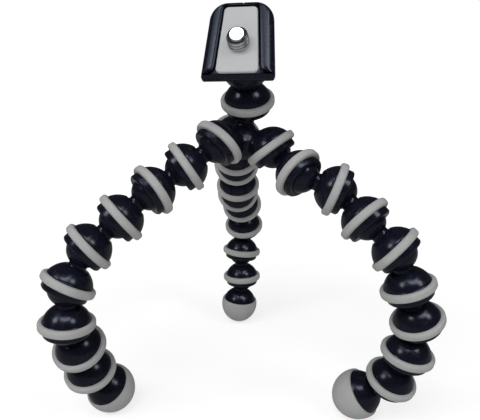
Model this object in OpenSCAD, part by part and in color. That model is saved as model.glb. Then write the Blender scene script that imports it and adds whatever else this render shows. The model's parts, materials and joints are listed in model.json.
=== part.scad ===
// Flexible leg tripod. A hub carries three legs of ball-and-socket links that snap together
// and hold by friction, and a head link with a tray and a quick clip for a small camera.
// Millimetres, +Z up. The feet stand on Z = 0 and the tripod faces -Y.

/* [Links] */
// Distance from a link's ball centre to its socket centre
link_pitch = 13.2; // [13:0.1:13.4]
// Radius of every ball
ball_r = 5.85; // [5.75:0.05:5.95]
// Radial play between a ball and its socket
ball_play = 0.05; // [0.02:0.01:0.1]
// Outside radius of a link's dome
dome_r = 8; // [7.9:0.05:8.05]
// Radius of the waist between a link's ball and its dome
waist_r = 2.9; // [2.7:0.05:2.95]
// How far the socket's lip reaches past the socket's centre
lip_reach = 2.4; // [2.2:0.1:2.4]

/* [Grip rings] */
// Outside diameter of a grip ring
ring_d = 17.8; // [17.4:0.1:18.2]
// Width of a grip ring
ring_w = 2.7; // [2.5:0.1:3]
// Distance that a grip ring sits behind its socket's centre
ring_back = 1.2; // [1.1:0.1:1.3]
// Radius of the seat that a grip ring is stretched over
seat_r = 7.4; // [7.3:0.05:7.45]

/* [Feet] */
// Radius of a foot cap at its widest
cap_r = 8.6; // [8.3:0.1:8.9]
// Length of a foot cap from its widest circle to its tip
cap_tip = 9.4; // [8.8:0.1:9.8]
// Height of a foot cap's rim above its widest circle
cap_rim = 2.4; // [2:0.1:2.8]

/* [Hub] */
// Height above the floor of the point where the three lobe axes meet
hub_h = 107; // [106.7:0.1:107.3]
// Slope of the lobes below the horizontal
lobe_slope = 44; // [43:1:45]
// Distance from the meeting point to a lobe's socket centre
lobe_reach = 15.3; // [15.1:0.1:15.6]
// Radius of the hub's core between the lobes
core_r = 6.2; // [5.8:0.1:6.4]
// Height of the hub's ball centre above the meeting point
stem_rise = 3.05; // [3:0.05:3.4]

/* [Head] */
// Lean of the head link from the vertical
head_lean = 29; // [25:1:31]
// Lean of the tray's face from the horizontal
tray_lean = 60; // [54:1:62]
// Height of the tray's underside above its ball centre
tray_base = 10.2; // [10:0.1:10.6]
// Thickness of the tray's floor
floor_t = 1.5; // [1.3:0.1:1.7]
// Height of the tray's rails above its floor
rail_h = 2.4; // [2.2:0.1:2.6]
// Width of the tray at its low end
tray_w = 21.4; // [20.9:0.1:21.9]
// Width of the tray at its high end, before its corners are rounded
tray_top_w = 18.6; // [18.2:0.1:19]

/* [Clip] */
// Width of the rubber pad at its low end
pad_w = 12.4; // [12:0.1:12.6]
// Width of the rubber pad at its high end
pad_top_w = 9.7; // [9.4:0.1:10]
// Thickness of the rubber pad
pad_t = 1.4; // [1.1:0.1:1.6]
// Height of the camera screw above the pad
screw_h = 4; // [3.6:0.1:4.6]
// Outside diameter of the camera screw's thread
screw_d = 6.35; // [6.35:0.01:6.35]

/* [Hidden] */
$fn = 96;

LEGS = ["left", "right", "back"];
LINKS = 8;

plastic = [0.03, 0.03, 0.06];
rubber = [0.66, 0.68, 0.67];
metal = [0.8, 0.8, 0.82];

// Rest pose. The hub leans a little, and each leg is bent link by link from the hub to the foot.
// A turn is the way that a link points round the vertical, and a fall is its slope below the
// horizontal. The fall marked undef is the one that brings that leg's foot down to the floor.
hub_place = [1.4, -22.9, hub_h];
hub_tilt = [6, 7, 11];
head_turn = 261;
tray_turn = 260;
tray_spin = 1;
LOBE_TURNS = [210, 330, 90];
LINK_TURNS = [
    [192, 209, 200, 201, 208, 166, 257, 258, 236],
    [317, 348, 323, 335, 356, 388, 316, 308, 333],
    [89, 89, 85, 90, 77, 82, 24, -2, -20]
];
LINK_FALLS = [
    [33, 30, 38, 39, undef, 86, 122, 117, 129],
    [31, 21, undef, 41, 71, 67, 103, 116, 144],
    [37, 23, undef, 23, 39, 62, 96, 89, 96]
];

// Small gaps between pieces that touch on the real object
skin = 0.02;
slide_play = 0.1;
// Extra length of a cut that runs out of a piece
run_out = 1;

socket_r = ball_r + ball_play;
dome_back = 7;
collar_end = 1.9;
lip_r = 6.9;
seat_overlap = 0.2;
ring_edge_r = 0.9;
plug_r = 6.8;

neck_top = -1.9;
neck_base = -7;
neck_base_r = 6.4;
core_z = -8.5;

edge_step = 0.75;
tray_low = -10.2;
tray_high = 13.5;
tray_low_r = 1.1;
tray_high_r = 5.6;
slot_high = 12.3;
boss_ball_r = 7.1;
boss_low = 4.9;
boss_low_r = 5.2;
boss_r = 7;

clip_lip = 1;
clip_flange = 0.85;
flange_t = 0.75;
clip_h = 2;
clip_r = 1.7;
thumb_len = 1.3;
thumb_r = 1.2;
pad_low = -10.5;
pad_high = 11.1;
pad_r = 1.4;
pad_sink = 0.5;
screw_y = -0.9;
screw_head_r = 4.2;
screw_head_t = 0.9;
shank_r = 2.6;
screw_tip_r = 2.2;
screw_chamfer = 0.7;

// Heights of the layers over the tray's ball, and the two ends of the thumb edge
floor_top = tray_base + floor_t;
rail_top = floor_top + rail_h;
clip_base = floor_top + slide_play;
clip_top = clip_base + clip_h;
pad_base = clip_top - pad_sink;
pad_top = pad_base + pad_t;
thumb_high = tray_low - slide_play;
thumb_low = thumb_high - thumb_len;

function turn_x(v, a) = [v.x, v.y * cos(a) - v.z * sin(a), v.y * sin(a) + v.z * cos(a)];
function turn_y(v, a) = [v.x * cos(a) + v.z * sin(a), v.y, v.z * cos(a) - v.x * sin(a)];
function turn_z(v, a) = [v.x * cos(a) - v.y * sin(a), v.x * sin(a) + v.y * cos(a), v.z];
function on_hub(v) = turn_z(turn_y(turn_x(v, hub_tilt.x), hub_tilt.y), hub_tilt.z);
function heading(turn, fall) = [cos(turn) * cos(fall), sin(turn) * cos(fall), -sin(fall)];
function total(list) = list * [for (item = list) 1];

// Height of a foot's centre over the floor when its cap leans by the given fall
function foot_height(fall) = norm([cap_r * cos(fall), cap_tip * sin(fall)]);

function lobe_centre(leg) = hub_place + lobe_reach * on_hub(heading(LOBE_TURNS[leg], lobe_slope));
function known_drop(leg) = link_pitch * total([for (a = LINK_FALLS[leg]) if (!is_undef(a)) sin(a)]);
function open_drop(leg) =
    lobe_centre(leg).z - foot_height(LINK_FALLS[leg][LINKS]) - known_drop(leg);
function fall_of(leg, i) =
    is_undef(LINK_FALLS[leg][i]) ? asin(open_drop(leg) / link_pitch) : LINK_FALLS[leg][i];
function link_axis(leg, i) = heading(LINK_TURNS[leg][i - 1], fall_of(leg, i - 1));
function link_centre(leg, i) =
    i == 0 ? lobe_centre(leg) : link_centre(leg, i - 1) + link_pitch * link_axis(leg, i);

hub_ball = hub_place + stem_rise * on_hub([0, 0, 1]);
head_axis = heading(head_turn, head_lean - 90);
tray_ball = hub_ball + link_pitch * head_axis;

// Points of an arc about a centre
function arc(centre, r, from, to, steps = 8) =
    [for (i = [0:steps]) let (a = from + (to - from) * i / steps) centre + r * [cos(a), sin(a)]];
// A tapered outline along Y with its four corners rounded
function tapered(w_low, w_high, low, high, r_low, r_high) =
    let (
        slope = atan((w_low - w_high) / 2 / (high - low)),
        half = function(y) w_low / 2 - (y - low) * tan(slope),
        at = function(y, r) [half(y) - r / cos(slope), y],
        right = concat(
            arc(at(low + r_low, r_low), r_low, -90, slope),
            arc(at(high - r_high, r_high), r_high, slope, 90)
        ),
        count = len(right)
    )
    concat(right, [for (i = [1:count]) [-right[count - i].x, right[count - i].y]]);
// Width of the clip's tapered sides at a height along it, set by the pad that it frames
function clip_w(y, extra) =
    let (taper = (pad_w - pad_top_w) / (pad_high - pad_low))
    pad_w + 2 * (clip_lip + extra) - taper * (y - pad_low);

// Puts a shape's origin at a place, with its Z axis along a direction
module aim(place, axis) {
    translate(place) rotate([0, acos(axis.z), atan2(axis.y, axis.x)]) children();
}

// Half outline of a disc, right of the Y axis
module half_disc(r) {
    intersection() {
        circle(r);
        translate([0, -r]) square([r, 2 * r]);
    }
}

// Half outline of a socket's outside: dome with its back cut flat, ring seat, collar and lip
module socket_outline(back = dome_r) {
    ring_low = ring_back + ring_w / 2;
    intersection() {
        half_disc(dome_r);
        translate([0, -back]) square([dome_r, back - ring_low]);
    }
    translate([0, -ring_low - seat_overlap]) square([seat_r, ring_low + seat_overlap + collar_end]);
    polygon([[0, collar_end], [seat_r, collar_end], [lip_r, lip_reach], [0, lip_reach]]);
}

// Half outline of the tray's boss: a round socket with no ring, cut off at its mouth
module boss_outline() {
    intersection() {
        half_disc(boss_ball_r);
        translate([0, -boss_ball_r]) square([boss_ball_r, boss_ball_r + lip_reach]);
    }
}

// Half outline of the ball and waist behind a dome
module ball_outline() {
    translate([0, -link_pitch]) {
        half_disc(ball_r);
        square([waist_r, link_pitch - dome_back + seat_overlap]);
    }
}

// One link: a ball at -Z and a socket at the origin that opens towards +Z
module link_body() {
    rotate_extrude() difference() {
        union() {
            socket_outline(dome_back);
            ball_outline();
        }
        half_disc(socket_r);
    }
}

// Rubber ring with rounded outer edges, on its seat behind the socket's centre
module grip_ring() {
    half_w = ring_w / 2;
    corner = [ring_d / 2 - ring_edge_r, half_w - ring_edge_r];
    outer = arc(corner, ring_edge_r, 0, 90, 6);
    translate([0, 0, -ring_back]) rotate_extrude() polygon(concat(
        [[seat_r + skin, -half_w + skin]],
        [for (i = [1:len(outer)]) [outer[len(outer) - i].x, -outer[len(outer) - i].y]],
        outer,
        [[seat_r + skin, half_w]]
    ));
}

module foot_body() {
    rotate_extrude() {
        intersection() {
            half_disc(dome_r);
            translate([0, -dome_back]) square([dome_r, dome_back - cap_rim]);
        }
        half_disc(plug_r);
        ball_outline();
    }
}

module foot_cap_body() {
    rim = asin(cap_rim / cap_r);
    steps = 24;
    swell = [for (i = [0:steps]) let (a = (90 + rim) * i / steps - rim)
        [cap_r * cos(a), (a < 0 ? cap_r : cap_tip) * sin(a)]];
    rotate_extrude() difference() {
        polygon(concat([[0, -cap_rim]], swell));
        half_disc(plug_r + skin);
        translate([0, -cap_rim]) square([cap_r, skin]);
    }
}

// Hub: three lobes with sockets, a core between them, and a ball on a flared neck
module hub_body() {
    difference() {
        union() {
            for (turn = LOBE_TURNS) {
                lobe = heading(turn, lobe_slope);
                aim(lobe_reach * lobe, lobe) rotate_extrude() socket_outline();
            }
            translate([0, 0, core_z]) sphere(core_r);
            translate([0, 0, neck_base]) cylinder(h = neck_top - neck_base, r1 = neck_base_r, r2 = waist_r);
            translate([0, 0, stem_rise]) sphere(ball_r);
        }
        for (turn = LOBE_TURNS) translate(lobe_reach * heading(turn, lobe_slope)) sphere(socket_r);
    }
}

module hub() {
    translate(hub_place) rotate(hub_tilt) {
        color(plastic) hub_body();
        color(rubber) for (turn = LOBE_TURNS) {
            lobe = heading(turn, lobe_slope);
            aim(lobe_reach * lobe, lobe) grip_ring();
        }
    }
}

module head_link() {
    aim(hub_ball, -head_axis) {
        color(plastic) link_body();
        color(rubber) grip_ring();
    }
}

// Frame of the tray: origin at its ball, Z out of its face, Y up its slope
module on_tray() {
    translate(tray_ball) rotate([tray_lean, 0, tray_turn - 270]) rotate(tray_spin) children();
}

// One layer of the tray's outside, drawn in by a step
module tray_layer(from, height, inset) {
    translate([0, 0, from]) linear_extrude(height) polygon(tapered(
        tray_w - 2 * inset, tray_top_w - 2 * inset, tray_low, tray_high - inset,
        tray_low_r, tray_high_r - inset
    ));
}

// Space in the tray for the clip, wider by a margin on each side and open at the low end
module clip_slot(from, height, extra) {
    start = tray_low - tray_low_r;
    translate([0, 0, from]) linear_extrude(height) polygon(tapered(
        clip_w(start, extra), clip_w(slot_high, extra), start, slot_high, skin, clip_r
    ));
}

module camera_tray() {
    flange_space = flange_t + 2 * slide_play;
    color(plastic) on_tray() difference() {
        union() {
            rotate([180, 0, 0]) rotate_extrude() boss_outline();
            translate([0, 0, boss_low]) cylinder(h = tray_base - boss_low, r1 = boss_low_r, r2 = boss_r);
            tray_layer(tray_base, edge_step, edge_step);
            tray_layer(tray_base + edge_step, floor_t + rail_h - 2 * edge_step, 0);
            tray_layer(rail_top - edge_step, edge_step, edge_step);
        }
        sphere(socket_r);
        clip_slot(floor_top, flange_space, clip_flange + slide_play);
        clip_slot(floor_top, rail_h + run_out, slide_play);
    }
}

// One layer of the clip, from its thumb edge up between the tray's rails
module clip_layer(from, height, extra) {
    high = slot_high - slide_play;
    translate([0, 0, from]) linear_extrude(height) polygon(tapered(
        clip_w(thumb_low, extra), clip_w(high, extra), thumb_low, high, skin, clip_r - slide_play
    ));
}

module pad_outline(grow) {
    polygon(tapered(
        pad_w + 2 * grow, pad_top_w + 2 * grow, pad_low - grow, pad_high + grow, pad_r, pad_r
    ));
}

module quick_clip() {
    color(plastic) on_tray() difference() {
        union() {
            clip_layer(clip_base, flange_t, clip_flange);
            clip_layer(clip_base, clip_h, 0);
            translate([0, 0, tray_base + edge_step]) linear_extrude(clip_top - tray_base - edge_step)
                polygon(tapered(tray_w, tray_w, thumb_low, thumb_high, thumb_r, skin));
        }
        translate([0, 0, pad_base]) linear_extrude(pad_t) pad_outline(skin);
        translate([0, screw_y, clip_base - run_out])
            cylinder(h = run_out + screw_head_t + skin, r = screw_head_r + skin);
        translate([0, screw_y, clip_base]) cylinder(h = clip_h, r = shank_r + skin);
    }
}

module clip_pad() {
    color(rubber) on_tray() translate([0, 0, pad_base + skin]) difference() {
        linear_extrude(pad_t - skin) pad_outline(0);
        translate([0, screw_y, -run_out]) cylinder(h = pad_t + 2 * run_out, r = shank_r + slide_play);
    }
}

// Screw with its head in the clip, a plain shank through the pad and the thread's outside above it
module camera_screw() {
    thread_h = screw_h - screw_chamfer - skin;
    color(metal) on_tray() translate([0, screw_y, 0]) {
        translate([0, 0, clip_base]) cylinder(h = screw_head_t, r = screw_head_r);
        translate([0, 0, clip_base]) cylinder(h = pad_top + 2 * skin - clip_base, r = shank_r);
        translate([0, 0, pad_top + skin]) cylinder(h = thread_h, d = screw_d);
        translate([0, 0, pad_top + skin + thread_h])
            cylinder(h = screw_chamfer, r1 = screw_d / 2, r2 = screw_tip_r);
    }
}

module leg_link(leg, i) {
    color(plastic) aim(link_centre(leg, i), link_axis(leg, i)) link_body();
}

module leg_ring(leg, i) {
    color(rubber) aim(link_centre(leg, i), link_axis(leg, i)) grip_ring();
}

module foot(leg) {
    color(plastic) aim(link_centre(leg, LINKS + 1), link_axis(leg, LINKS + 1)) foot_body();
}

module foot_cap(leg) {
    color(rubber) aim(link_centre(leg, LINKS + 1), link_axis(leg, LINKS + 1)) foot_cap_body();
}

hub();
head_link();
camera_tray();
quick_clip();
clip_pad();
camera_screw();
for (leg = [0:len(LEGS) - 1]) {
    for (i = [1:LINKS]) {
        leg_link(leg, i);
        leg_ring(leg, i);
    }
    foot(leg);
    foot_cap(leg);
}
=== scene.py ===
# Flexible leg tripod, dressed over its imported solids. Metres, +Z up, the feet on Z = 0.
import json
import math

import bmesh
import bpy
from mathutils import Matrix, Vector


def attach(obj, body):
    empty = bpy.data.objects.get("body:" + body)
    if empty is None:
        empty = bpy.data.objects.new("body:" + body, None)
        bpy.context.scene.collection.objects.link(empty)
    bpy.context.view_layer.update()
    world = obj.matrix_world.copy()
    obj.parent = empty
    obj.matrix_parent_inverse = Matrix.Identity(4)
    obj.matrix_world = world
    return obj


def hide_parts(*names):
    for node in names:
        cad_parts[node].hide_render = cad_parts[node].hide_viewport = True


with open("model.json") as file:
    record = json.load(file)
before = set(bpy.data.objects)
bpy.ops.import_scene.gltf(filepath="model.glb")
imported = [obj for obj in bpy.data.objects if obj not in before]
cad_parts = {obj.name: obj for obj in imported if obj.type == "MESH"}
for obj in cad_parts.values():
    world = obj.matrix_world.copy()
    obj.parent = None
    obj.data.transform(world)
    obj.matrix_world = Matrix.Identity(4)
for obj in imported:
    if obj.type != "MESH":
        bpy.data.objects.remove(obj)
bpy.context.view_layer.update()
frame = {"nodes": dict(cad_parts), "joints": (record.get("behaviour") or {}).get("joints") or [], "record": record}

mm = 0.001
joints = {joint["name"]: joint for joint in frame["joints"]}


def joint_place(name):
    return Vector(joints[name]["pos_m"])


def joint_axis(name):
    return Vector(joints[name]["axis"])


# Hub. One moulding of glossy black plastic: three domed sockets that hold the legs' top balls run
# together into a core, and a flared neck carries the ball under the head. The sockets' cups are
# crisp where the grip rings sit, and the rest is blended as a mould maker would round it.

class Wire:
    """One value in a node tree. Sums on it add Math nodes, and put() adds any other node."""

    def __init__(self, tree, socket=None):
        self.tree = tree
        self.socket = socket

    def put(self, kind, settings=None, inputs=None, out=0):
        node = self.tree.nodes.new(kind)
        for name, value in (settings or {}).items():
            if name == "stops":
                ramp = node.color_ramp.elements
                while len(ramp) < len(value):
                    ramp.new(0.5)
                for stop, (place, grey) in zip(ramp, value):
                    stop.position = place
                    stop.color = (grey, grey, grey, 1)
            else:
                setattr(node, name, value)
        for key, value in (inputs or {}).items():
            if isinstance(value, Wire):
                self.tree.links.new(value.socket, node.inputs[key])
            else:
                node.inputs[key].default_value = value
        return Wire(self.tree, node.outputs[out] if node.outputs else None)

    def beside(self, out):
        return Wire(self.tree, self.socket.node.outputs[out])

    def math(self, operation, *values):
        return self.put("ShaderNodeMath", {"operation": operation}, dict(enumerate(values)))

    def vector(self, operation, *values, out=0):
        return self.put("ShaderNodeVectorMath", {"operation": operation}, dict(enumerate(values)), out)

    def noise(self, spot, scale, detail, roughness=0.5):
        return self.put("ShaderNodeTexNoise", inputs={
            "Vector": spot, "Scale": scale, "Detail": detail, "Roughness": roughness,
        })

    def ranged(self, value, low, high, first=0, last=1):
        """A value that runs from low to high, made to run from first to last."""
        return self.put("ShaderNodeMapRange", inputs={0: value, 1: low, 2: high, 3: first, 4: last})

    def mixed(self, share, first, second):
        """Two colours, with a share of the second."""
        return self.put("ShaderNodeMix", {"data_type": "RGBA"}, {
            "Factor": share, 6: first, 7: second,
        }, out=2)

    def __add__(self, other):
        return self.math("ADD", self, other)

    def __radd__(self, other):
        return self.math("ADD", other, self)

    def __sub__(self, other):
        return self.math("SUBTRACT", self, other)

    def __rsub__(self, other):
        return self.math("SUBTRACT", other, self)

    def __mul__(self, other):
        return self.math("MULTIPLY", self, other)

    def __rmul__(self, other):
        return self.math("MULTIPLY", other, self)

    def __truediv__(self, other):
        return self.math("DIVIDE", self, other)

    def __pow__(self, other):
        return self.math("POWER", self, other)


def black_plastic():
    """Black plastic with a blue cast: moulded gloss with a faint ripple, dull rubs and fine dust."""
    finish = bpy.data.materials.new("black_plastic")
    finish.use_nodes = True
    tree = finish.node_tree
    shader = tree.nodes["Principled BSDF"]
    start = Wire(tree)
    spot = start.put("ShaderNodeTexCoord", out="Object")
    ripple = start.noise(spot, 260, 2)
    skin = start.noise(spot, 2600, 3)
    rubbed = start.ranged(start.noise(spot, 420, 6, 0.7), 0.55, 0.75)
    dusty = start.ranged(start.noise(spot, 5200, 1), 0.66, 0.74) * rubbed
    deep = start.mixed(ripple, (0.0034, 0.0037, 0.0080, 1), (0.0056, 0.0060, 0.0120, 1))
    worn = start.mixed(rubbed * 0.35 + dusty * 0.3, deep, (0.024, 0.025, 0.031, 1))
    bump = start.put("ShaderNodeBump", inputs={
        "Strength": 0.35, "Distance": 0.12 * mm, "Height": ripple * 0.8 + skin * 0.12,
    })
    links = tree.links
    links.new(worn.socket, shader.inputs["Base Color"])
    links.new((0.16 + rubbed * 0.2 + skin * 0.08).socket, shader.inputs["Roughness"])
    links.new(bump.socket, shader.inputs["Normal"])
    shader.inputs["IOR"].default_value = 1.33
    shader.inputs["Specular Tint"].default_value = (0.84, 0.88, 1, 1)
    return finish


plastic = black_plastic()


def stood_up(start, inputs, shell):
    """Turns a shell's Z axis to the Axis input and moves it to the Place input."""
    aimed = start.put("FunctionNodeAlignRotationToVector", {"axis": "Z"}, {
        "Vector": inputs.beside("Axis"),
    })
    return start.put("GeometryNodeTransform", inputs={
        0: shell, "Translation": inputs.beside("Place"), "Rotation": aimed,
    })


def give_finish(start, inputs, shell):
    """The end of every tree: one realized shell in its own finish."""
    shell = start.put("GeometryNodeRealizeInstances", inputs={0: shell})
    shell = start.put("GeometryNodeSetMaterial", inputs={0: shell, "Material": inputs.beside("Finish")})
    start.put("NodeGroupOutput", inputs={0: shell})


def turning_tree():
    """Turns a half outline round the Z axis, then aims and places it."""
    tree = bpy.data.node_groups.new("turned_piece", "GeometryNodeTree")
    for name, kind in (
        ("Outline", "Geometry"), ("Steps round", "Int"), ("Place", "Vector"),
        ("Axis", "Vector"), ("Finish", "Material"),
    ):
        tree.interface.new_socket(name, in_out="INPUT", socket_type="NodeSocket" + kind)
    tree.interface.new_socket("Piece", in_out="OUTPUT", socket_type="NodeSocketGeometry")
    start = Wire(tree)
    outline = start.put("NodeGroupInput")
    steps = outline.beside("Steps round")
    rows = start.put("GeometryNodeAttributeDomainSize", inputs={0: outline})
    sheet = start.put("GeometryNodeMeshGrid", inputs={2: steps + 1, 3: rows})
    number = start.put("GeometryNodeInputIndex")
    row = number.math("MODULO", number, rows)
    column = number.math("FLOOR", number / rows)
    point = start.put(
        "GeometryNodeSampleIndex", {"data_type": "FLOAT_VECTOR"},
        {0: outline, 1: start.put("GeometryNodeInputPosition"), 2: row},
    )
    radius = start.put("ShaderNodeSeparateXYZ", inputs={0: point})
    angle = column / steps * math.tau
    turned = start.put("ShaderNodeCombineXYZ", inputs={
        0: radius * angle.math("COSINE", angle),
        1: radius * angle.math("SINE", angle),
        2: radius.beside("Z"),
    })
    shell = start.put("GeometryNodeSetPosition", inputs={"Geometry": sheet, "Position": turned})
    shell = start.put("GeometryNodeMergeByDistance", inputs={0: shell, "Distance": 0.001 * mm})
    give_finish(start, outline, stood_up(start, outline, shell))
    return tree


turned_piece = turning_tree()


def grown(name, tree, values, outline=()):
    """Runs a tree on an outline's points and keeps the result as a plain mesh."""
    points = bpy.data.meshes.new(name)
    points.from_pydata(outline, [], [])
    piece = bpy.data.objects.new(name, points)
    bpy.context.scene.collection.objects.link(piece)
    modifier = piece.modifiers.new("grown", "NODES")
    modifier.node_group = tree
    for item in tree.interface.items_tree:
        if item.name in values:
            modifier[item.identifier] = values[item.name]
    shape = bpy.context.evaluated_depsgraph_get()
    mesh = bpy.data.meshes.new_from_object(piece.evaluated_get(shape))
    piece.modifiers.clear()
    piece.data = mesh
    bpy.data.meshes.remove(points)
    return piece


def smoothed(piece, crease=32):
    """Faces outwards, and shades smoothly but for the creases sharper than an angle."""
    shell = bmesh.new()
    shell.from_mesh(piece.data)
    bmesh.ops.recalc_face_normals(shell, faces=shell.faces)
    shell.to_mesh(piece.data)
    shell.free()
    piece.data.shade_smooth()
    piece.data.set_sharp_from_angle(angle=math.radians(crease))
    return piece


def turned(name, outline, place, axis, finish, steps=96):
    """A piece turned from (radius, height) points in millimetres."""
    return smoothed(grown(name, turned_piece, {
        "Steps round": steps, "Place": place, "Axis": axis, "Finish": finish,
    }, [(r * mm, 0, z * mm) for r, z in outline]))


def arc(centre, radius, first, last, steps):
    """Points of an arc about (radius, height), by angles above the horizontal."""
    angles = [math.radians(first + (last - first) * i / steps) for i in range(steps + 1)]
    return [(centre[0] + radius * math.cos(a), centre[1] + radius * math.sin(a)) for a in angles]


def united(name, pieces):
    """One watertight piece from several that overlap."""
    main = pieces[0]
    for other in pieces[1:]:
        join = main.modifiers.new("join", "BOOLEAN")
        join.operation = "UNION"
        join.solver = "MANIFOLD"
        join.object = other
    shape = bpy.context.evaluated_depsgraph_get()
    mesh = bpy.data.meshes.new_from_object(main.evaluated_get(shape))
    main.modifiers.clear()
    main.data = mesh
    for other in pieces[1:]:
        bpy.data.objects.remove(other)
    main.name = name
    return smoothed(main)


BALL = 5.85
SOCKET = 5.9
DOME = 8.0
PITCH = 13.2
SEAT = 7.4
LIP = 6.9
RING_LOW, RING_HIGH = -2.55, 0.15
COLLAR_END = 1.9
LIP_END = 2.4

# The rim of every socket, from the ring's seat over the collar and lip and down the inside
socket_rim = [
    (SEAT, RING_LOW), (SEAT, COLLAR_END - 0.15), (SEAT - 0.05, COLLAR_END),
    (LIP + 0.12, LIP_END - 0.12), (LIP, LIP_END - 0.03), (LIP - 0.12, LIP_END),
    (5.55, LIP_END), (5.45, LIP_END - 0.05),
]
socket_inside = arc((0, 0), SOCKET, 23, -90, 24)

HUB_RISE = 3.05
NECK = 2.9
NECK_TOP, NECK_FOOT = -1.7, -8
FLARE_TOP, FLARE = -4.0, 0.85
CORE, CORE_HEIGHT = 6.0, -9.8
BLEND, BALL_BLEND = 3.0, 0.5
CUP = 7.35
VOXEL = 0.26
hub_up = joint_axis("head_pan")
hub_ball = joint_place("head_pan")
hub_meeting = hub_ball - hub_up * HUB_RISE * mm
legs = ("left", "right", "back")
lobe_places = {leg: joint_place(leg + "_joint_1") for leg in legs}
lobe_axes = {leg: (lobe_places[leg] - hub_meeting).normalized() for leg in legs}


def hub_tree():
    """The hub's rounded body as one blend of its domes, core, neck and ball."""
    tree = bpy.data.node_groups.new("hub_body", "GeometryNodeTree")
    for name, kind in (
        ("Meeting point", "Vector"), ("Up", "Vector"), ("Dome radius", "Float"),
        ("Core radius", "Float"), ("Neck radius", "Float"), ("Ball radius", "Float"),
        ("Blend", "Float"), ("Finish", "Material"),
    ):
        tree.interface.new_socket(name, in_out="INPUT", socket_type="NodeSocket" + kind)
    tree.interface.new_socket("Piece", in_out="OUTPUT", socket_type="NodeSocketGeometry")
    start = Wire(tree)
    middle = start.put("NodeGroupInput")
    blend = middle.beside("Blend")
    up = middle.beside("Up")
    here = start.put("GeometryNodeInputPosition")

    def along(axis, centre):
        return start.vector("DOT_PRODUCT", start.vector("SUBTRACT", here, centre), axis, out="Value")

    def from_point(centre):
        return start.vector("DISTANCE", here, centre, out="Value")

    def from_axis(axis, centre):
        height = along(axis, centre)
        return start.math("SQRT", from_point(centre) ** 2 - height ** 2)

    def lifted(height):
        return start.vector("ADD", middle, start.put(
            "ShaderNodeVectorMath", {"operation": "SCALE"}, {0: up, "Scale": height},
        ))

    rise = along(up, middle)
    flare = start.math("MAXIMUM", (rise - FLARE_TOP * mm) * -FLARE, 0.0)
    neck = start.math(
        "MAXIMUM", from_axis(up, middle) - middle.beside("Neck radius") - flare,
        start.math("MAXIMUM", rise - NECK_TOP * mm, NECK_FOOT * mm - rise),
    )
    core = from_point(lifted(CORE_HEIGHT * mm)) - middle.beside("Core radius")
    body = start.math("SMOOTH_MIN", core, neck, blend)
    for leg in legs:
        dome = from_point(lobe_places[leg]) - middle.beside("Dome radius")
        body = start.math("SMOOTH_MIN", body, dome, blend)
    ball = from_point(lifted(HUB_RISE * mm)) - middle.beside("Ball radius")
    body = start.math("SMOOTH_MIN", body, ball, BALL_BLEND * mm)
    for leg in legs:
        height = along(lobe_axes[leg], lobe_places[leg])
        outside_cup = from_axis(lobe_axes[leg], lobe_places[leg]) - (CUP - 0.05) * mm
        clear_of_ring = start.math("MINIMUM", outside_cup, height - RING_LOW * mm)
        hollow = (CUP - 0.35) * mm - from_point(lobe_places[leg])
        for cut in (clear_of_ring, hollow, height):
            body = start.math("MAXIMUM", body, cut)
    low = Vector(min(p[i] for p in lobe_places.values()) for i in range(3)) - Vector((9, 9, 9)) * mm
    high = Vector(max(p[i] for p in lobe_places.values()) for i in range(3)) + Vector((9, 9, 20)) * mm
    counts = [round((high[i] - low[i]) / (VOXEL * mm)) for i in range(3)]
    block = start.put("GeometryNodeVolumeCube", inputs={
        "Density": 1 - body / mm, "Background": 0.0, "Min": low, "Max": high,
        "Resolution X": counts[0], "Resolution Y": counts[1], "Resolution Z": counts[2],
    })
    shell = start.put("GeometryNodeVolumeToMesh", inputs={"Volume": block, "Threshold": 1.0})
    give_finish(start, middle, shell)
    return tree


hub_body = grown("hub_body", hub_tree(), {
    "Meeting point": hub_meeting, "Up": hub_up, "Dome radius": DOME * mm, "Core radius": CORE * mm,
    "Neck radius": NECK * mm, "Ball radius": BALL * mm, "Blend": BLEND * mm, "Finish": plastic,
})
cup_outline = arc((0, 0), CUP, -90, -21, 14) + socket_rim + socket_inside
hub_cups = [turned("hub_cup", cup_outline, lobe_places[leg], lobe_axes[leg], plastic) for leg in legs]
hub = united("hub_moulding", [smoothed(hub_body)] + hub_cups)
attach(hub, "hub")
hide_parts("hub")


# Leg links. Eight to a leg, moulded in the hub's black plastic: each has a ball that snaps into the
# socket before it, a narrow waist, and a domed socket with a collar for the next ball.

LINKS = 8
WAIST = 2.88
waist = arc((0, -PITCH), BALL, -90, 60, 30) + [
    (WAIST, -7.9), (WAIST, -7.4), (WAIST + 0.06, -7.16), (3.12, -7.04), (3.5, -7.0),
]
dome = arc((0, 0), DOME, -61, -22.5, 20) + [
    (7.4, -2.95), (7.46, -2.84), (7.56, -2.72), (7.56, RING_LOW),
]
link_outline = waist + dome + socket_rim + socket_inside


def link_stand(leg, i):
    """Where a link's socket is, and the way it points from the link's ball."""
    ball = joint_place(f"{leg}_joint_{i}")
    socket = joint_place(f"{leg}_joint_{i + 1}" if i < LINKS else f"{leg}_foot_joint")
    return socket, (socket - ball).normalized()


for leg in legs:
    for i in range(1, LINKS + 1):
        link = turned(f"{leg}_link_moulding_{i}", link_outline, *link_stand(leg, i), plastic)
        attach(link, f"{leg}_{i}")
        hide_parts(f"{leg}_link_{i}")


# Grip rings. Flat bands of grey rubber with soft edges, stretched over the seat behind each socket's
# collar: one on every link, three on the hub and one on the head link.

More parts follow.
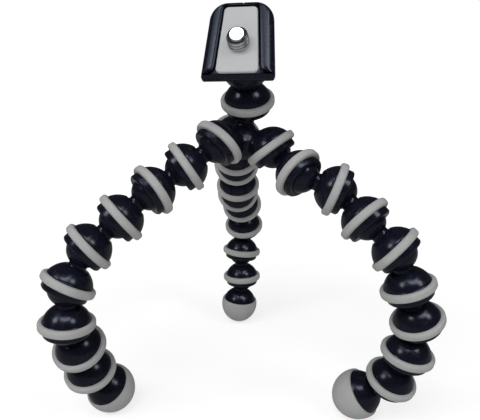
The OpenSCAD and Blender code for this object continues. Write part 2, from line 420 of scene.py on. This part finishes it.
def grey_rubber(name, pale, dark, grain):
    """Soft matte rubber with a fine grain, cloudy greying and small dark marks from handling."""
    finish = bpy.data.materials.new(name)
    finish.use_nodes = True
    tree = finish.node_tree
    shader = tree.nodes["Principled BSDF"]
    start = Wire(tree)
    spot = start.put("ShaderNodeTexCoord", out="Object")
    cloud = start.noise(spot, 170, 4, 0.6)
    fine = start.noise(spot, grain, 3, 0.65)
    marked = start.ranged(start.noise(spot, 900, 5, 0.7), 0.62, 0.78)
    mottle = start.ranged(cloud * 0.6 + fine * 0.4, 0.3, 0.7)
    colour = start.mixed(mottle, dark, pale)
    darkened = start.mixed(marked * 0.22, colour, (0.09, 0.09, 0.095, 1))
    bump = start.put("ShaderNodeBump", inputs={
        "Strength": 0.4, "Distance": 0.06 * mm, "Height": fine * 0.8 + cloud * 0.5,
    })
    tree.links.new(darkened.socket, shader.inputs["Base Color"])
    tree.links.new((0.62 + mottle * 0.16 - marked * 0.1).socket, shader.inputs["Roughness"])
    tree.links.new(bump.socket, shader.inputs["Normal"])
    shader.inputs["Specular IOR Level"].default_value = 0.35
    return finish


band_rubber = grey_rubber("grip_rubber", (0.317, 0.320, 0.314, 1), (0.278, 0.282, 0.279, 1), 4200)

RING_OUTSIDE = 8.9
RING_EDGE = 0.95
ring_outline = (
    [(SEAT + 0.02, RING_LOW + 0.04)]
    + arc((RING_OUTSIDE - RING_EDGE, RING_LOW + RING_EDGE), RING_EDGE, -90, -12, 8)
    + arc((RING_OUTSIDE - RING_EDGE, RING_HIGH - RING_EDGE), RING_EDGE, 12, 90, 8)
    + [(SEAT + 0.02, RING_HIGH), (SEAT + 0.02, RING_LOW + 0.04)]
)


def joined(name, pieces):
    """Several separate shells kept as one piece."""
    shell = bmesh.new()
    for piece in pieces:
        shell.from_mesh(piece.data)
    whole = pieces[0]
    shell.to_mesh(whole.data)
    shell.free()
    for piece in pieces[1:]:
        bpy.data.objects.remove(piece)
    whole.name = name
    return whole


hub_rings = joined("hub_grip_rings", [
    turned("hub_grip_ring", ring_outline, lobe_places[leg], lobe_axes[leg], band_rubber) for leg in legs
])
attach(hub_rings, "hub")
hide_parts("hub")

for leg in legs:
    for i in range(1, LINKS + 1):
        ring = turned(f"{leg}_grip_ring_{i}", ring_outline, *link_stand(leg, i), band_rubber)
        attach(ring, f"{leg}_{i}")
        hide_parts(f"{leg}_ring_{i}")


# Feet. The last link of each leg ends in a plain round plug in place of a socket, and a thick cap of
# the grip rings' grey rubber is pushed over the plug.

CAP = 8.6
CAP_TIP = 9.4
CAP_RIM = 2.4
PLUG = 6.8
foot_outline = (
    waist + arc((0, 0), DOME, -61, -math.degrees(math.asin(CAP_RIM / DOME)), 20)
    + arc((0, 0), PLUG, -20, 90, 24)
)
rim_angle = math.degrees(math.asin(CAP_RIM / CAP))
cap_outline = (
    [(0, PLUG + 0.02)] + arc((0, 0), PLUG + 0.02, 88, -17, 24)
    + [(6.5, -CAP_RIM + 0.02), (8.0, -CAP_RIM + 0.02), (8.18, -CAP_RIM + 0.1), (8.27, -CAP_RIM + 0.28)]
    + arc((0, 0), CAP, 4 - rim_angle, 14 - rim_angle, 5)
    + [(CAP * math.cos(a), CAP_TIP * math.sin(a)) for a in (math.radians(3 * i) for i in range(31))]
)

for leg in legs:
    ball = joint_place(f"{leg}_foot_joint")
    cap_points = [Vector(v.co) for v in frame["nodes"][f"{leg}_foot_cap"].data.vertices]
    axis = (sum(cap_points, Vector()) / len(cap_points) - ball).normalized()
    tip = ball + axis * PITCH * mm
    foot = turned(f"{leg}_foot_moulding", foot_outline, tip, axis, plastic)
    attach(foot, f"{leg}_foot_link")
    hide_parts(f"{leg}_foot")
    cap = turned(f"{leg}_rubber_cap", cap_outline, tip, axis, band_rubber)
    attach(cap, f"{leg}_foot_link")
    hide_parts(f"{leg}_foot_cap")


# Head link. One more link of the legs' kind, turned over: its socket snaps onto the hub's ball and
# its own ball goes up into the tray. It carries a grip ring too.

tray_ball = joint_place("tray_tilt")
head_axis = (hub_ball - tray_ball).normalized()
head = turned("head_link_moulding", link_outline, hub_ball, head_axis, plastic)
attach(head, "head")
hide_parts("head_link")
head_ring = turned("head_grip_ring", ring_outline, hub_ball, head_axis, band_rubber)
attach(head_ring, "head")
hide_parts("head_link")


# Camera tray. A black moulding on the head link's ball: a boss with a socket below, a thin floor, and
# two broad rounded rails that run together over the top and hold the quick clip between them.

tray_up = -joint_axis("clip_slide").normalized()
tray_out = Vector(frame["record"]["mounts"][0]["axis"]).normalized()
tray_right = tray_up.cross(tray_out)


def on_tray(x, y, z):
    return tray_ball + (tray_right * x + tray_up * y + tray_out * z) * mm


def tapered(w_low, w_high, low, high, r_low, r_high, side=12, corner=8):
    """A tapered outline with rounded corners, anticlockwise from the middle of its low edge."""
    lean = math.atan((w_low - w_high) / 2 / (high - low))
    half = lambda y: w_low / 2 - (y - low) * math.tan(lean)

    def rounded(y, r, first, last):
        middle = half(y) - r / math.cos(lean)
        angles = [math.radians(first + (last - first) * i / corner) for i in range(corner + 1)]
        return [(middle + r * math.cos(a), y + r * math.sin(a)) for a in angles]

    tilt = math.degrees(lean)
    right = rounded(low + r_low, r_low, -90, tilt)
    top = rounded(high - r_high, r_high, tilt, 90)
    (x0, y0), (x1, y1) = right[-1], top[0]
    right += [(x0 + (x1 - x0) * i / side, y0 + (y1 - y0) * i / side) for i in range(1, side)] + top
    return right + [(-x, y) for x, y in reversed(right)]


def drawn_in(outline, by):
    """The outline moved inwards along its normals."""
    moved = []
    for i, (x, y) in enumerate(outline):
        (ax, ay), (bx, by_) = outline[i - 1], outline[(i + 1) % len(outline)]
        along = Vector((bx - ax, by_ - ay)).normalized()
        moved.append((x - along.y * by, y + along.x * by))
    return moved


def stacked(name, layers, finish):
    """A closed shell over (outline, height) layers on the tray, from the lowest up."""
    count = len(layers[0][0])
    points = [on_tray(x, y, z) for outline, z in layers for x, y in outline]
    faces = [list(reversed(range(count))), list(range(len(points) - count, len(points)))]
    for layer in range(len(layers) - 1):
        for i in range(count):
            a, b = layer * count + i, layer * count + (i + 1) % count
            faces.append([a, b, b + count, a + count])
    mesh = bpy.data.meshes.new(name)
    mesh.from_pydata(points, [], faces)
    mesh.materials.append(finish)
    piece = bpy.data.objects.new(name, mesh)
    bpy.context.scene.collection.objects.link(piece)
    return smoothed(piece)


CORNER = 5.6
TRAY_BASE = 10.2
FLOOR_TOP = 11.7
RAIL_TOP = 14.1
TRAY_LOW, TRAY_HIGH = -10.2, 13.5
TRAY_WIDE, TRAY_NARROW = 21.4, 18.6
SLOT_HIGH = 12.3
PAD_LOW, PAD_HIGH = -10.5, 11.1
PAD_WIDE, PAD_NARROW = 12.4, 9.7
UNDER_LIP = 12.68
RAIL_GAP = 0.65
RAIL_END = 2.2
LIP_WIDTH, LIP_DROP = 0.6, 0.16
GROOVE = 0.55
UNDERCUT = 0.85


def clip_half(y, margin):
    """Half width of the clip at a height along the tray, set by the pad that it frames."""
    return (PAD_WIDE - (PAD_WIDE - PAD_NARROW) * (y - PAD_LOW) / (PAD_HIGH - PAD_LOW)) / 2 + margin


def half_path(outline):
    """The right half of an outline's side, corner and top, from its low end to its middle."""
    count = len(outline) // 2
    return outline[8:count]


def rail_path(wide, narrow, high, radius):
    """From the low right end of the rails up, over the top and down to the low left end."""
    right = half_path(tapered(2 * wide, 2 * narrow, TRAY_LOW, high, 0.01, radius, side=20, corner=14))
    left = [(-x, y) for x, y in reversed(right)]
    across = (right[-1][0], 0.62, 0.58, 0.3, 0.26, left[0][0])
    return right + [(x, high) for x in across[1:-1]] + left


def rails():
    """Both rails as one bar with a rounded back, an upstanding inner lip and a slot under the lip."""
    outer = rail_path(TRAY_WIDE / 2, TRAY_NARROW / 2, TRAY_HIGH, CORNER)
    inner = rail_path(clip_half(TRAY_LOW, RAIL_GAP), clip_half(SLOT_HIGH, RAIL_GAP), SLOT_HIGH, 1.7)
    sections = []
    for (ox, oy), (ix, iy) in zip(outer, inner):
        across = Vector((ix - ox, iy - oy))
        width = across.length
        from_end = max(0.0, min(oy, iy) - TRAY_LOW)
        bend = max(0.0, RAIL_END - from_end)
        give = RAIL_END - math.sqrt(max(0.0, RAIL_END ** 2 - bend ** 2))
        width_left = max(width - give, 0.9)
        under = UNDERCUT * min(1.0, max(0.0, (width_left - 1.3) / 1.2))
        crest = RAIL_TOP - 0.35 * (1 - min(1.0, width / 3.0))
        notch = 0.5 if 0.28 < ox < 0.6 and oy > TRAY_HIGH - 0.1 else 0.0
        back = [
            (width_left * (0.5 - 0.5 * math.cos(math.radians(6 + 7 * i))),
             FLOOR_TOP + (crest - notch - FLOOR_TOP) * math.sin(math.radians(12 + 6 * i)))
            for i in range(14)
        ]
        lip = width_left - min(LIP_WIDTH, width_left * 0.3)
        profile = (
            [(0.7, TRAY_BASE + 0.1), (0.22, TRAY_BASE + 0.32), (0, TRAY_BASE + 0.75), (0, FLOOR_TOP)]
            + [(min(a, lip - 0.3), z) for a, z in back] + [(lip - 0.2, crest - notch - 0.08)]
            + [(lip - 0.14, crest - GROOVE), (lip + 0.04, crest - GROOVE)]
            + [(lip + 0.1, crest - LIP_DROP), (width_left - 0.1, crest - LIP_DROP)]
            + [(width_left, crest - 2 * LIP_DROP), (width_left, UNDER_LIP)]
            + [(width_left - under, UNDER_LIP), (width_left - under, FLOOR_TOP - 0.3)]
        )
        middle = sum(a for a, z in profile) / len(profile)
        pinch = 1 - 0.06 * max(0.0, 1 - from_end / 0.5) ** 2
        step = across / width
        drawn = [(middle + (a - middle) * pinch, TRAY_BASE + (z - TRAY_BASE) * pinch) for a, z in profile]
        sections.append([(ox + step.x * a, oy + step.y * a, z) for a, z in drawn])
    count = len(sections[0])
    points = [on_tray(*p) for section in sections for p in section]
    faces = [list(range(count)), list(reversed(range(len(points) - count, len(points))))]
    for row in range(len(sections) - 1):
        for i in range(count):
            a, b = row * count + i, row * count + (i + 1) % count
            faces.append([a, a + count, b + count, b])
    mesh = bpy.data.meshes.new("rails")
    mesh.from_pydata(points, [], faces)
    mesh.materials.append(plastic)
    piece = bpy.data.objects.new("rails", mesh)
    bpy.context.scene.collection.objects.link(piece)
    return smoothed(piece)


tray_edge = tapered(TRAY_WIDE, TRAY_NARROW, TRAY_LOW, TRAY_HIGH, 0.35, CORNER)
tray_floor = stacked("tray_floor", [
    (drawn_in(tray_edge, 0.7), TRAY_BASE), (drawn_in(tray_edge, 0.3), TRAY_BASE + 0.1),
    (drawn_in(tray_edge, 0.08), TRAY_BASE + 0.35), (tray_edge, TRAY_BASE + 0.75), (tray_edge, FLOOR_TOP),
], plastic)
BOSS = 7.45
boss_outline = (
    [(0, -10.6), (7.3, -10.6), (7.3, -10.1), (6.75, -9.2), (6.15, -7.6), (5.85, -6.2), (5.76, -5.2)]
    + arc((0, 0), BOSS, -40, 15, 16)
    + [(6.95, LIP_END - 0.12), (6.8, LIP_END), (5.55, LIP_END), (5.45, LIP_END - 0.05)] + socket_inside
)
tray_boss = turned("tray_boss", boss_outline, tray_ball, -tray_out, plastic)
tray = united("tray_moulding", [tray_floor, rails(), tray_boss])
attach(tray, "tray")
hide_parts("camera_tray")


# Quick clip. A black plastic slide that runs up between the rails, with feet under their lips, a frame
# round the pad, and a thumb edge across the tray's low end to push it out by.

CLIP_BASE = 11.8
CLIP_TOP = 13.8
THUMB_LOW, THUMB_HIGH = -11.6, -10.32
CLIP_HIGH = 12.2
FILLET = 2.0
FRAME = 0.55
FOOT_REACH, FOOT_THICK = 1.35, 0.75
PAD_DEPTH = 0.5


def clip_outline(margin, slope):
    """The slide's outline with the thumb edge, its low side drawn up by a slope and its ends curved."""
    side = clip_half(THUMB_HIGH, margin)
    end = TRAY_WIDE / 2 - 0.12
    low = THUMB_LOW + slope
    corner = min(0.8, THUMB_HIGH - 0.42 - low)
    right = [(end - corner + corner * math.cos(a), low + corner + corner * math.sin(a))
             for a in (math.radians(-90 + 15 * i) for i in range(7))]
    right += [(end - 0.4 + 0.4 * math.cos(a), THUMB_HIGH - 0.4 + 0.4 * math.sin(a))
              for a in (math.radians(18 * i) for i in range(6))]
    right += [(side + FILLET - FILLET * math.sin(a), THUMB_HIGH + FILLET - FILLET * math.cos(a))
              for a in (math.radians(10 * i) for i in range(10))]
    widths = 2 * clip_half(THUMB_LOW, margin), 2 * clip_half(CLIP_HIGH, margin)
    top = tapered(*widths, THUMB_LOW, CLIP_HIGH, 0.01, 1.6)
    right += [p for p in half_path(top) if p[1] > THUMB_HIGH + FILLET + 0.3]
    return right + [(-x, y) for x, y in reversed(right)]


clip_edge = clip_outline(FRAME, 0)
pad_edge = tapered(PAD_WIDE, PAD_NARROW, PAD_LOW, PAD_HIGH, 1.4, 1.4)
clip_slide = stacked("clip_slide", [
    (drawn_in(clip_edge, 0.3), TRAY_BASE + 0.75), (drawn_in(clip_edge, 0.08), TRAY_BASE + 0.95),
    (clip_edge, TRAY_BASE + 1.2), (clip_edge, CLIP_TOP - 1.2),
] + [
    (drawn_in(clip_outline(FRAME, slope), inset), CLIP_TOP - drop)
    for slope, inset, drop in (
        (0.05, 0.03, 1.0), (0.12, 0.1, 0.75), (0.36, 0.32, 0.12), (0.42, 0.38, 0.03), (0.46, 0.44, 0),
    )
], plastic)


def cut_from(piece, tool):
    """Takes one shell out of another."""
    cut = piece.modifiers.new("cut", "BOOLEAN")
    cut.operation = "DIFFERENCE"
    cut.solver = "MANIFOLD"
    cut.object = tool
    shape = bpy.context.evaluated_depsgraph_get()
    mesh = bpy.data.meshes.new_from_object(piece.evaluated_get(shape))
    piece.modifiers.clear()
    piece.data = mesh
    bpy.data.objects.remove(tool)
    return smoothed(piece)


# Under the slide, above the tray's floor, only the feet and the slide itself are left
under_slide = [(13, THUMB_HIGH), (13, 15), (-13, 15), (-13, THUMB_HIGH)]
clip_slide = cut_from(clip_slide, stacked("under_slide", [
    (under_slide, 8), (under_slide, CLIP_BASE),
], plastic))
feet_edge = tapered(
    2 * clip_half(THUMB_HIGH, FOOT_REACH), 2 * clip_half(CLIP_HIGH, FOOT_REACH),
    THUMB_HIGH - 0.3, CLIP_HIGH - 0.9, 0.01, 1.4,
)
clip_feet = stacked("clip_feet", [(feet_edge, CLIP_BASE), (feet_edge, CLIP_BASE + FOOT_THICK)], plastic)
clip = united("clip_moulding", [clip_slide, clip_feet])
pad_recess = drawn_in(pad_edge, -0.03)
clip = cut_from(clip, stacked("pad_recess", [
    (pad_recess, CLIP_TOP - PAD_DEPTH), (pad_recess, CLIP_TOP + 1),
], plastic))
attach(clip, "clip")
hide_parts("quick_clip")


# Clip pad. A pale grey rubber pad set into the clip, standing a little proud so that the camera grips
# it, with soft edges and a hole for the screw.

PAD_BASE = CLIP_TOP - PAD_DEPTH
PAD_TOP = PAD_BASE + 1.4
pad_rubber = grey_rubber("pad_rubber", (0.372, 0.380, 0.388, 1), (0.342, 0.350, 0.358, 1), 5200)
pad = stacked("clip_pad_rubber", [
    (pad_edge, PAD_BASE + 0.02), (pad_edge, PAD_TOP - 0.42), (drawn_in(pad_edge, 0.03), PAD_TOP - 0.26),
    (drawn_in(pad_edge, 0.12), PAD_TOP - 0.12), (drawn_in(pad_edge, 0.26), PAD_TOP - 0.03),
    (drawn_in(pad_edge, 0.45), PAD_TOP), (drawn_in(pad_edge, 1.2), PAD_TOP),
], pad_rubber)
SCREW_Y = -0.9
screw_place = on_tray(0, SCREW_Y, 0)
pad = cut_from(pad, turned(
    "screw_hole", [(0, 12), (2.7, 12), (2.7, 16), (0, 16)], screw_place, tray_out, pad_rubber,
))
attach(pad, "clip")
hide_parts("clip_pad")


# Camera screw. A bright plated 1/4 inch screw: its flat head sits in the clip under the pad, and the
# cut thread stands up through the pad to a chamfered end.

SCREW = 3.175
THREAD_DEPTH, THREAD_PITCH = 0.62, 1.27
SCREW_TALL = 4
SCREW_END, END_SLOPE = 2.0, 1.15
SCREW_HEAD = 4.2


def bright_metal(place, axis):
    """Plated steel, almost a mirror, with turning marks, dull spots and painted shade down in the thread."""
    finish = bpy.data.materials.new("bright_metal")
    finish.use_nodes = True
    tree = finish.node_tree
    shader = tree.nodes["Principled BSDF"]
    start = Wire(tree)
    spot = start.put("ShaderNodeTexCoord", out="Object")
    marks = start.noise(spot, 2400, 4, 0.7)
    dull = start.ranged(start.noise(spot, 500, 3), 0.5, 0.75)
    reach = start.vector("SUBTRACT", spot, place)
    height = start.vector("DOT_PRODUCT", reach, axis, out="Value")
    squared = start.vector("DOT_PRODUCT", reach, reach, out="Value")
    from_axis = start.math("SQRT", squared - height * height)
    end = PAD_TOP + SCREW_TALL
    on_thread = start.ranged(height, (end - 0.4) * mm, (end - 0.2) * mm, 1, 0)
    # Painted shade: the roots of the thread, inside the crests, are coloured near black where shade falls between
    # the turns
    painted_thread_shade = on_thread * start.ranged(from_axis, 2.62 * mm, 3.02 * mm, 1, 0)
    colour = start.mixed(dull, (0.86, 0.86, 0.87, 1), (0.74, 0.74, 0.76, 1))
    darkened = start.mixed(painted_thread_shade * 0.96, colour, (0.03, 0.03, 0.034, 1))
    bump = start.put("ShaderNodeBump", inputs={"Strength": 0.15, "Distance": 0.02 * mm, "Height": marks})
    tree.links.new(darkened.socket, shader.inputs["Base Color"])
    tree.links.new((0.06 + dull * 0.1 + marks * 0.05 + painted_thread_shade * 0.2).socket, shader.inputs["Roughness"])
    tree.links.new(bump.socket, shader.inputs["Normal"])
    tree.links.new((1 - on_thread * 0.08).socket, shader.inputs["Metallic"])
    return finish


def thread_tree():
    """A threaded shank along Z with a chamfered end, aimed and placed."""
    tree = bpy.data.node_groups.new("screw_thread", "GeometryNodeTree")
    for name, kind in (
        ("Outside radius", "Float"), ("Depth", "Float"), ("Pitch", "Float"), ("Low", "Float"),
        ("High", "Float"), ("End radius", "Float"), ("Place", "Vector"), ("Axis", "Vector"),
        ("Finish", "Material"),
    ):
        tree.interface.new_socket(name, in_out="INPUT", socket_type="NodeSocket" + kind)
    tree.interface.new_socket("Piece", in_out="OUTPUT", socket_type="NodeSocketGeometry")
    start = Wire(tree)
    outside = start.put("NodeGroupInput")
    depth, pitch = outside.beside("Depth"), outside.beside("Pitch")
    low, high, end = outside.beside("Low"), outside.beside("High"), outside.beside("End radius")
    round_steps, rows = 96, 150
    sheet = start.put("GeometryNodeMeshGrid", inputs={2: round_steps + 1, 3: rows})
    number = start.put("GeometryNodeInputIndex")
    row = number.math("MODULO", number, rows)
    column = number.math("FLOOR", number / rows)
    angle = column / round_steps * math.tau
    climb = start.math("MINIMUM", start.math("MAXIMUM", (row - 1) / (rows - 3), 0.0), 1.0)
    height = low + (high - low) * climb
    turn = start.math("FRACT", height / pitch - column / round_steps + 8)
    wedge = start.math("PINGPONG", turn, 0.5) * 2
    flank = start.math("MINIMUM", start.math("MAXIMUM", wedge * 1.35 - 0.12, 0.0), 1.0)
    cut = outside - depth * flank
    chamfer = end + (high - height) * END_SLOPE
    radius = start.math("MINIMUM", cut, chamfer)
    open_end = start.math("COMPARE", row, (rows - 1) / 2, (rows - 1) / 2 - 0.5)
    radius = radius * open_end
    place = start.put("ShaderNodeCombineXYZ", inputs={
        0: radius * angle.math("COSINE", angle), 1: radius * angle.math("SINE", angle), 2: height,
    })
    shell = start.put("GeometryNodeSetPosition", inputs={"Geometry": sheet, "Position": place})
    shell = start.put("GeometryNodeMergeByDistance", inputs={0: shell, "Distance": 0.0005 * mm})
    give_finish(start, outside, stood_up(start, outside, shell))
    return tree


plated = bright_metal(screw_place, tray_out)
thread = grown("screw_thread", thread_tree(), {
    "Outside radius": SCREW * mm, "Depth": THREAD_DEPTH * mm, "Pitch": THREAD_PITCH * mm,
    "Low": (PAD_TOP + 0.02) * mm, "High": (PAD_TOP + SCREW_TALL) * mm, "End radius": SCREW_END * mm,
    "Place": screw_place, "Axis": tray_out, "Finish": plated,
})
shank = turned("screw_shank", [
    (0, CLIP_BASE + 0.02), (SCREW_HEAD - 0.2, CLIP_BASE + 0.02), (SCREW_HEAD, CLIP_BASE + 0.15),
    (SCREW_HEAD, CLIP_BASE + 0.75), (SCREW_HEAD - 0.15, CLIP_BASE + 0.9), (2.55, CLIP_BASE + 0.9),
    (2.55, PAD_TOP + 0.3), (0, PAD_TOP + 0.3),
], screw_place, tray_out, plated)
screw = united("plated_screw", [smoothed(thread), shank])
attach(screw, "clip")
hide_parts("camera_screw")


# Studio. A white sweep under soft lamps from above and both sides, seen from just over the height of
# the tripod's hub, as a seller's photograph is taken. A strip of light overhead shows in the rails.

def seen_in(start):
    """Whether a ray comes straight from the camera, from a reflection or through a surface."""
    ray = start.put("ShaderNodeLightPath")
    return ray, ray.beside("Is Glossy Ray"), ray.beside("Is Transmission Ray")


sweep = bpy.data.materials.new("studio_white")
sweep.use_nodes = True
matte = sweep.node_tree.nodes["Principled BSDF"]
matte.inputs["Base Color"].default_value = (0.92, 0.92, 0.92, 1)
matte.inputs["Roughness"].default_value = 0.9
start = Wire(sweep.node_tree)
straight, mirrored, through = seen_in(start)
spot = start.put("ShaderNodeTexCoord", out="Object")
away = start.vector("LENGTH", spot, out="Value")
shade = start.ranged(away, 0.1, 0.4, 0.35, 0)
seen = start.math("MAXIMUM", straight, start.math("MAXIMUM", mirrored, through))
# Painted shadow: seen in reflections, the floor glows dimmer near the tripod, as if lying in its shadow, and
# brighter further off
reflected_floor_painted_shadow = start.ranged(away, 0.1, 0.32, 0.05, 0.26)
white = start.put("ShaderNodeEmission", inputs={
    "Color": (1, 1, 1, 1), "Strength": (1 - mirrored) * 1.13 + mirrored * reflected_floor_painted_shadow,
})
surface = start.put("ShaderNodeMixShader", inputs={
    0: seen * (1 - shade), 1: Wire(sweep.node_tree, matte.outputs[0]), 2: white,
})
sweep.node_tree.links.new(surface.socket, sweep.node_tree.nodes["Material Output"].inputs["Surface"])

floor_mesh = bpy.data.meshes.new("studio_floor")
floor_mesh.from_pydata([(-6, -6, 0), (6, -6, 0), (6, 6, 0), (-6, 6, 0)], [], [(0, 1, 2, 3)])
floor_mesh.materials.append(sweep)
floor = bpy.data.objects.new("studio_floor", floor_mesh)
bpy.context.scene.collection.objects.link(floor)

world = bpy.data.worlds.new("studio_air")
bpy.context.scene.world = world
world.use_nodes = True
sky = world.node_tree.nodes["Background"]
sky.inputs["Color"].default_value = (1, 1, 1, 1)
air = Wire(world.node_tree)
straight, mirrored, through = seen_in(air)
toward = air.put("ShaderNodeSeparateXYZ", inputs={0: air.put("ShaderNodeTexCoord", out="Generated")})
ahead, high = toward.beside("Y"), toward.beside("Z")


def fade(value, dark, bright):
    """0 at one value and 1 at the other, eased between them."""
    return air.put("ShaderNodeMapRange", {"interpolation_type": "SMOOTHSTEP"}, {
        0: value, 1: dark, 2: bright, 3: 0, 4: 1,
    })


strip = (
    fade(high, 0.74, 0.80) * fade(high, 0.93, 0.89) * fade(ahead, 0.0, -0.1)
    * fade(toward, -0.8, -0.65) * fade(toward, 0.5, 0.3)
)
glow = 0.05 + strip * (1.8 + fade(toward, -0.3, -0.16) * 7)
tint = air.mixed(mirrored, (1, 1, 1, 1), (0.86, 0.93, 1, 1))
world.node_tree.links.new(tint.socket, sky.inputs["Color"])
lit = air.math("MAXIMUM", straight, through)
strength = lit + mirrored * glow + (1 - lit) * (1 - mirrored) * 0.3
world.node_tree.links.new(strength.socket, sky.inputs["Strength"])


def soft_lamp(name, place, target, size, power):
    data = bpy.data.lights.new(name, "AREA")
    data.shape = "DISK"
    data.size = size
    data.energy = power
    lamp = bpy.data.objects.new(name, data)
    lamp.location = place
    lamp.rotation_euler = (Vector(target) - Vector(place)).to_track_quat("-Z", "Y").to_euler()
    bpy.context.scene.collection.objects.link(lamp)
    return lamp


soft_lamp("key_light", (-0.2, -0.6, 0.72), (0, 0, 0.07), 0.5, 4.4).visible_glossy = False
soft_lamp("left_light", (-0.5, -0.35, 0.55), (0, 0, 0.07), 0.26, 1.5)
soft_lamp("right_light", (0.45, -0.4, 0.6), (0, 0, 0.07), 0.26, 1.5)

camera_data = bpy.data.cameras.new("photo_camera")
camera_data.sensor_width = 36
camera_data.sensor_fit = "HORIZONTAL"
camera_data.lens = 535.76 / 480 * 36
camera_data.clip_start = 0.01
camera = bpy.data.objects.new("photo_camera", camera_data)
camera.location = Vector((-3.33, -202.63, 117.38)) * mm
camera.rotation_euler = (math.radians(90 - 13.579), 0, math.radians(-0.826))
bpy.context.scene.collection.objects.link(camera)
bpy.context.scene.camera = camera
bpy.context.scene.view_settings.view_transform = "Standard"
